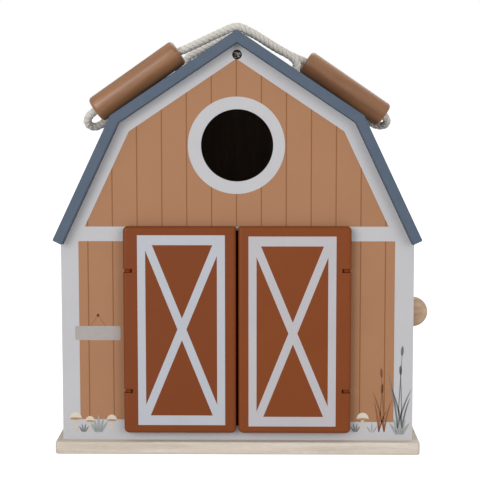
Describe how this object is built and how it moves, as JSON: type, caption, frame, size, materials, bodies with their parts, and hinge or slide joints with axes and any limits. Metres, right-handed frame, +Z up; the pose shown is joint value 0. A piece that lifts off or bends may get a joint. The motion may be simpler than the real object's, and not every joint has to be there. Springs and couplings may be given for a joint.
{
  "type": "toy barn dollhouse",
  "caption": "Wooden toy barn with gambrel roof that opens into two hinged halves, with swinging front doors, round loft window, ball knob and rope carry handles.",
  "frame": {"origin": "on the floor under the middle of the closed house, on the seam between the two halves", "axes": "+Z up; -Y towards the front gable with its doors; +X to the viewer's right"},
  "size_m": [0.3125, 0.185, 0.3489],
  "materials": {
    "tan_board": "satin printed board",
    "roof_board": "satin painted board",
    "door_board": "satin printed board",
    "bare_wood": "clear matt lacquer",
    "stained_wood": "satin stained beech",
    "cotton_rope": "twisted cotton",
    "zinc_steel": "zinc plated",
    "dark_steel": "dark bronze"
  },
  "bodies": {
    "rear_half": {"rear_base_board": "bare_wood", "rear_gable_wall": "tan_board", "rear_ridge_beam": "bare_wood", "rear_loft_floor": "bare_wood", "rear_left_side_wall": "tan_board", "rear_left_upper_roof": "roof_board", "rear_left_lower_roof": "roof_board", "rear_left_rope_knot": "cotton_rope", "rear_right_side_wall": "tan_board", "rear_right_upper_roof": "roof_board", "rear_right_lower_roof": "roof_board", "rear_right_rope_knot": "cotton_rope", "rear_lower_hinge_leaf": "zinc_steel", "rear_upper_hinge_leaf": "zinc_steel", "lower_hinge_pin": "zinc_steel", "upper_hinge_pin": "zinc_steel", "rear_lower_magnet": "zinc_steel", "rear_upper_magnet": "zinc_steel", "rear_gable_screw": "dark_steel", "rear_handle_rope": "cotton_rope"},
    "front_half": {"front_base_board": "bare_wood", "front_gable_wall": "tan_board", "front_ridge_beam": "bare_wood", "front_loft_floor": "bare_wood", "front_left_side_wall": "tan_board", "front_left_upper_roof": "roof_board", "front_left_lower_roof": "roof_board", "front_left_rope_knot": "cotton_rope", "front_right_side_wall": "tan_board", "front_right_upper_roof": "roof_board", "front_right_lower_roof": "roof_board", "front_right_rope_knot": "cotton_rope", "front_lower_hinge_leaf": "zinc_steel", "front_upper_hinge_leaf": "zinc_steel", "front_lower_magnet": "zinc_steel", "front_upper_magnet": "zinc_steel", "front_gable_screw": "dark_steel", "front_handle_rope": "cotton_rope", "left_door_lower_eye": "dark_steel", "left_door_upper_eye": "dark_steel", "right_door_lower_eye": "dark_steel", "right_door_upper_eye": "dark_steel", "wall_knob": "bare_wood", "wall_knob_screw": "zinc_steel"},
    "left_door": {"left_door_panel": "door_board", "left_door_lower_pin": "dark_steel", "left_door_upper_pin": "dark_steel"},
    "right_door": {"right_door_panel": "door_board", "right_door_lower_pin": "dark_steel", "right_door_upper_pin": "dark_steel"},
    "front_grip": {"front_handle_grip": "stained_wood"},
    "rear_grip": {"rear_handle_grip": "stained_wood"}
  },
  "joints": [
    {"name": "house_hinge", "type": "hinge", "parent": "rear_half", "child": "front_half", "pos_m": [-0.149, 0, 0.09], "axis": [0, 0, -1], "range_deg": [0, 180]},
    {"name": "left_door_hinge", "type": "hinge", "parent": "front_half", "child": "left_door", "pos_m": [-0.0877, -0.0885, 0.1], "axis": [0, 0, -1], "range_deg": [0, 160]},
    {"name": "right_door_hinge", "type": "hinge", "parent": "front_half", "child": "right_door", "pos_m": [0.0877, -0.0885, 0.1], "axis": [0, 0, 1], "range_deg": [0, 160]},
    {"name": "front_grip_spin", "type": "hinge", "parent": "front_half", "child": "front_grip", "pos_m": [-0.08201, -0.056, 0.30167], "axis": [0.8198, 0, 0.5726], "continuous": true},
    {"name": "rear_grip_spin", "type": "hinge", "parent": "rear_half", "child": "rear_grip", "pos_m": [0.09181, 0.028, 0.29474], "axis": [-0.8248, 0, 0.5655], "continuous": true}
  ]
}
